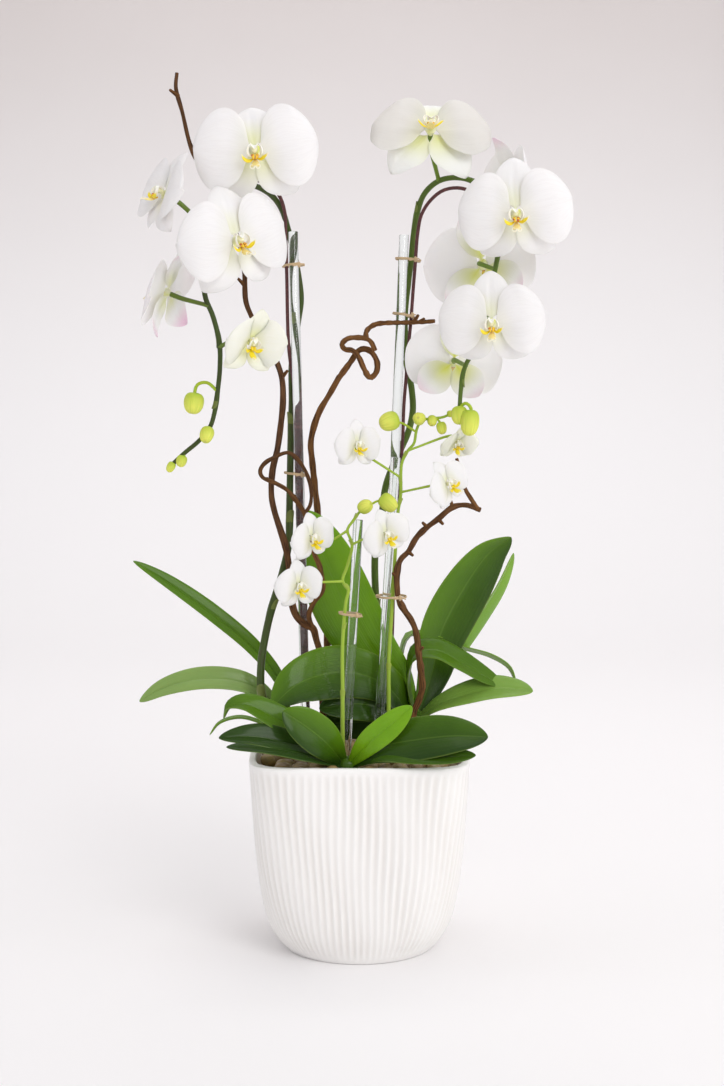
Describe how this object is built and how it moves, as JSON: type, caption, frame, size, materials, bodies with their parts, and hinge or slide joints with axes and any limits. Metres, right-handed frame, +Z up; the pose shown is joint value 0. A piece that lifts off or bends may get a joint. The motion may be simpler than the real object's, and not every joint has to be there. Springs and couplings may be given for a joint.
{
  "type": "potted moth orchid",
  "caption": "Moth orchids in a square ribbed white pot, with arching flower spikes on clear stakes, dry curly twigs and pebbles.",
  "frame": {"origin": "centre of the pot's foot, on the surface it stands on", "axes": "+Z up, the front that the open flowers face is -Y, +X to the viewer's right"},
  "size_m": [0.37, 0.1987, 0.7411],
  "materials": {
    "pot_glaze": "satin white glaze over close upright ribs",
    "bark": "damp dark bark chips",
    "pebble": "smooth tan and brown river pebbles",
    "clear_rod": "clear polished acrylic rod",
    "raffia": "dry natural raffia strand",
    "dark_wire": "dark red-brown coated wire",
    "twig_bark": "dry brown twig with fine bark",
    "dark_stem": "living dark green flower spike",
    "green_stem": "living green flower spike",
    "pale_stem": "living yellow-green flower spike",
    "leaf": "thick leathery glossy leaf",
    "white_petal": "soft matt white petal",
    "cream_petal": "soft matt creamy yellow petal",
    "lip": "waxy yellow and white lip with a white column"
  },
  "bodies": {
    "root": {"pot": "pot_glaze", "growing_medium": "bark", "pebbles": "pebble", "stake_left": "clear_rod", "stake_right_tall": "clear_rod", "stake_right_short": "clear_rod", "stake_middle": "clear_rod", "raffia_tie_1": "raffia", "raffia_tie_2": "raffia", "raffia_tie_3": "raffia", "raffia_tie_4": "raffia", "raffia_tie_5": "raffia", "raffia_tie_6": "raffia", "training_wire_left": "dark_wire", "training_wire_right": "dark_wire", "twig_tall": "twig_bark", "twig_curly": "twig_bark", "twig_right": "twig_bark", "spike_left": "dark_stem", "spike_right": "green_stem", "spike_small_right": "pale_stem", "spike_small_front": "pale_stem", "leaves_right_plant": "leaf", "leaves_left_plant": "leaf", "leaves_front_plant": "leaf", "bloom_1_petals": "white_petal", "bloom_1_lip": "lip", "bloom_2_petals": "white_petal", "bloom_2_lip": "lip", "bloom_3_petals": "white_petal", "bloom_3_lip": "lip", "bloom_4_petals": "cream_petal", "bloom_4_lip": "lip", "bloom_5_petals": "white_petal", "bloom_5_lip": "lip", "bloom_6_petals": "white_petal", "bloom_6_lip": "lip", "bloom_7_petals": "white_petal", "bloom_7_lip": "lip", "bloom_8_petals": "white_petal", "bloom_8_lip": "lip", "bloom_9_petals": "white_petal", "bloom_9_lip": "lip", "bloom_10_petals": "white_petal", "bloom_10_lip": "lip", "bloom_11_petals": "white_petal", "bloom_11_lip": "lip", "small_bloom_1_petals": "white_petal", "small_bloom_1_lip": "lip", "small_bloom_2_petals": "cream_petal", "small_bloom_2_lip": "lip", "small_bloom_3_petals": "white_petal", "small_bloom_3_lip": "lip", "small_bloom_4_petals": "white_petal", "small_bloom_4_lip": "lip", "small_bloom_5_petals": "white_petal", "small_bloom_5_lip": "lip", "small_bloom_6_petals": "white_petal", "small_bloom_6_lip": "lip"}
  },
  "joints": []
}
